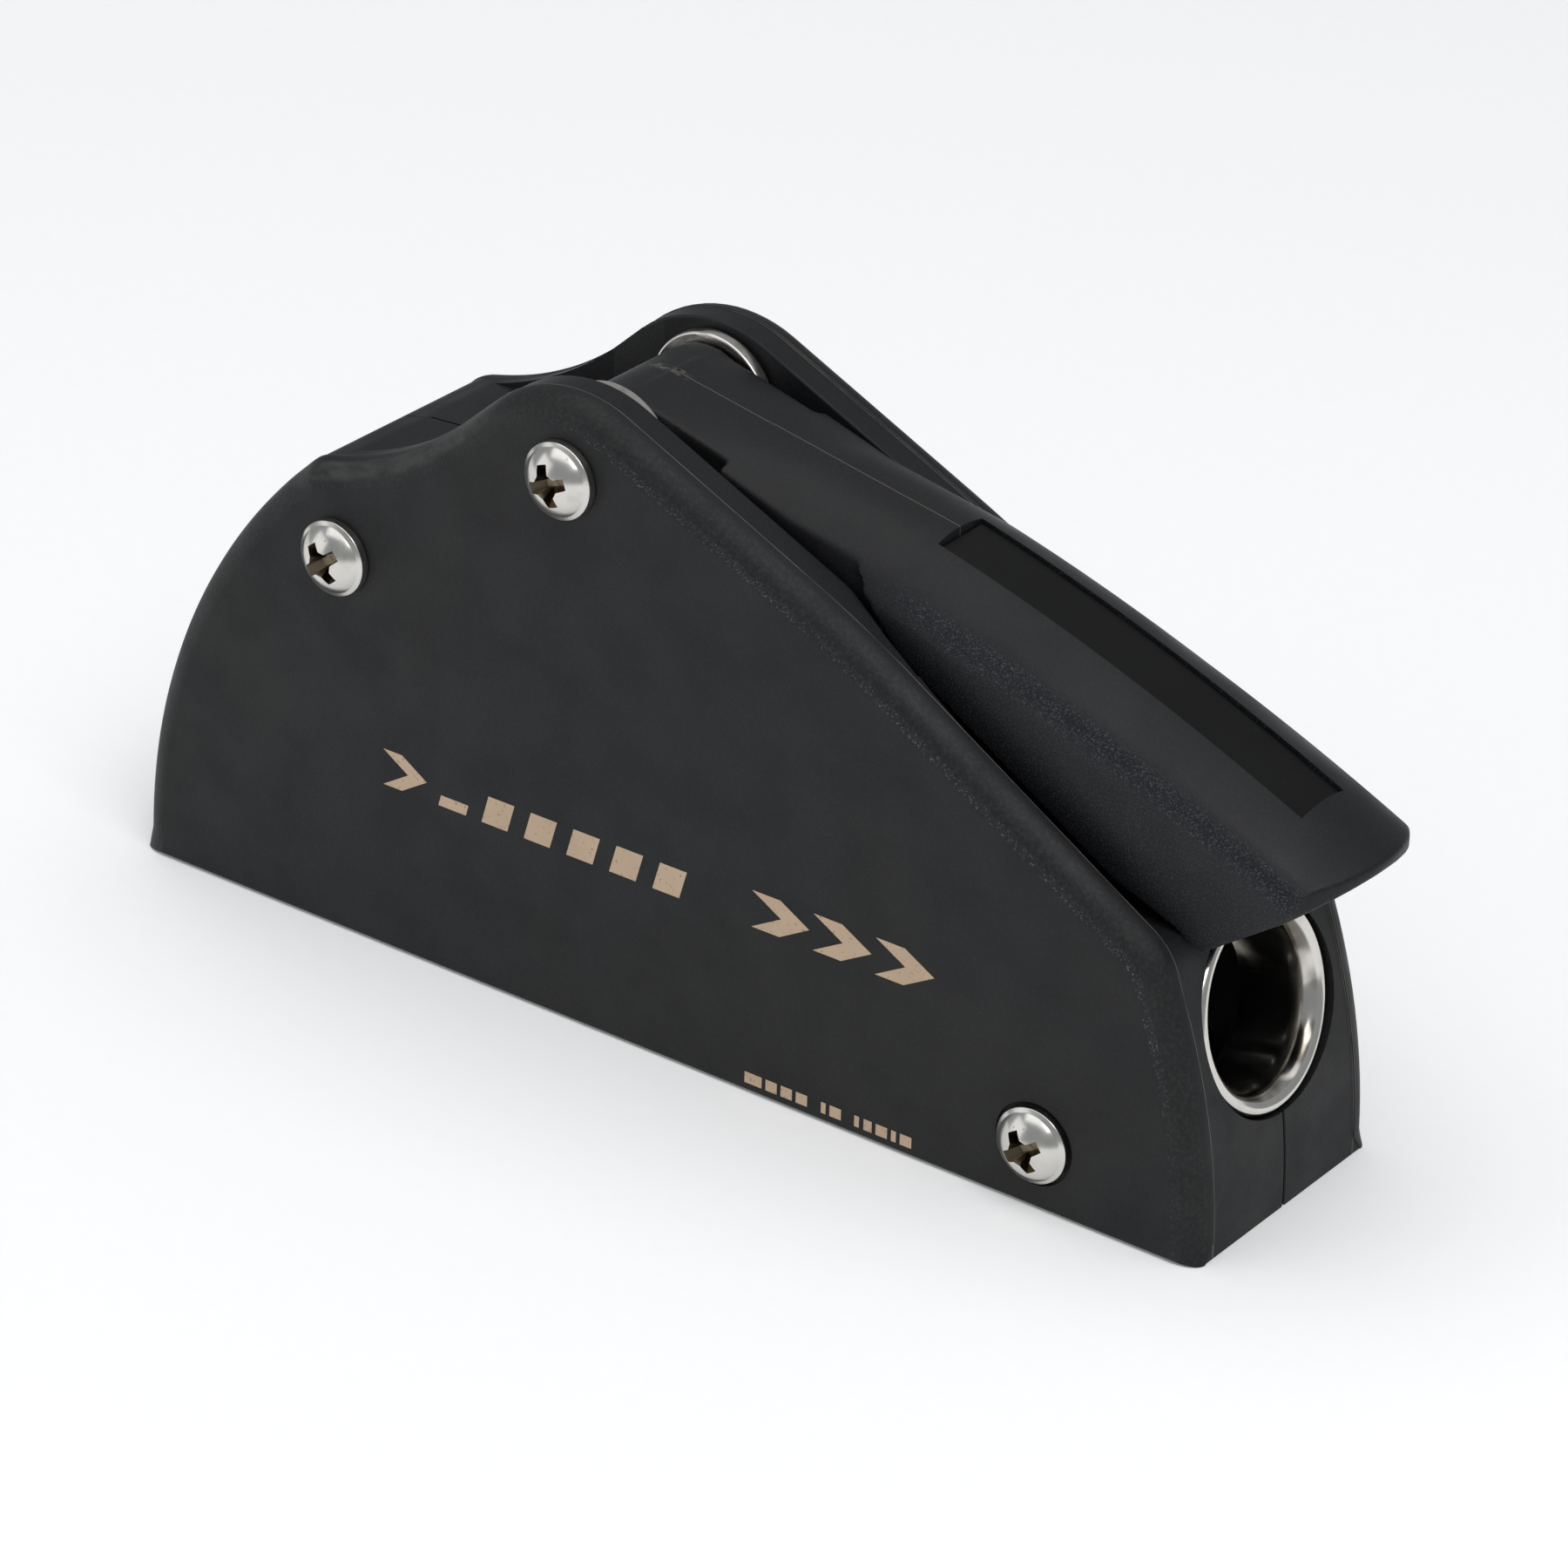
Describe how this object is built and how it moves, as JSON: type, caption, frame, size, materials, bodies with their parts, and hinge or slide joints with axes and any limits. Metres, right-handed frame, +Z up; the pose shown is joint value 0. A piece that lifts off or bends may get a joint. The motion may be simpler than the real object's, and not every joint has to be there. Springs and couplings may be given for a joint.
{
  "type": "rope clutch",
  "caption": "Enclosed lever-operated rope clutch for a boat deck: a handle on an axle lifts a toothed cam off a rope that runs through two round fairleads.",
  "frame": {"origin": "middle of the flat base on the deck, halfway between its rear and front ends", "axes": "+Z up from the deck, +X towards the end under the handle's free tip where the tail of the rope comes out, +Y towards the far half shell; the seam between the half shells is y = 0"},
  "size_m": [0.1749, 0.0462, 0.084],
  "materials": {
    "shell_composite": "fine-grained black glass-filled nylon, lightly scuffed",
    "handle_composite": "satin black glass-filled nylon",
    "label_film": "smooth semi-gloss black strip",
    "polished_steel": "polished stainless steel",
    "machined_steel": "turned stainless steel",
    "spring_steel": "drawn stainless spring wire",
    "cast_steel": "cast stainless steel with cut teeth",
    "acetal": "natural acetal",
    "bush_bronze": "turned bronze"
  },
  "bodies": {
    "body": {"shell_near": "shell_composite", "shell_far": "shell_composite", "front_fairlead": "polished_steel", "rear_fairlead": "polished_steel", "jaw_plate": "cast_steel", "axle_sleeve": "machined_steel", "rear_sleeve": "machined_steel", "front_sleeve": "machined_steel", "axle_screw_near": "polished_steel", "axle_screw_far": "polished_steel", "rear_screw_near": "polished_steel", "rear_screw_far": "polished_steel", "front_screw_near": "polished_steel", "front_screw_far": "polished_steel", "deck_insert_rear": "machined_steel", "deck_insert_front": "machined_steel", "cam_spring": "spring_steel"},
    "handle": {"handle": "handle_composite", "handle_label": "label_film", "cam_pin": "machined_steel", "crank_plate_near": "polished_steel", "crank_plate_far": "polished_steel", "hub_bush_near": "acetal", "hub_bush_far": "acetal"},
    "cam": {"cam": "cast_steel", "cam_bush_near": "bush_bronze", "cam_bush_far": "bush_bronze"}
  },
  "joints": [
    {"name": "handle_hinge", "type": "hinge", "parent": "body", "child": "handle", "pos_m": [-0.0133, 0, 0.074], "axis": [0, -1, 0], "range_deg": [0, 110]},
    {"name": "cam_hinge", "type": "hinge", "parent": "handle", "child": "cam", "pos_m": [-0.01641, 0, 0.06241], "axis": [0, -1, 0], "range_deg": [-99, 0]}
  ],
  "couplings": [
    {"joint": "cam_hinge", "follows": "handle_hinge", "ratio": -0.9}
  ]
}
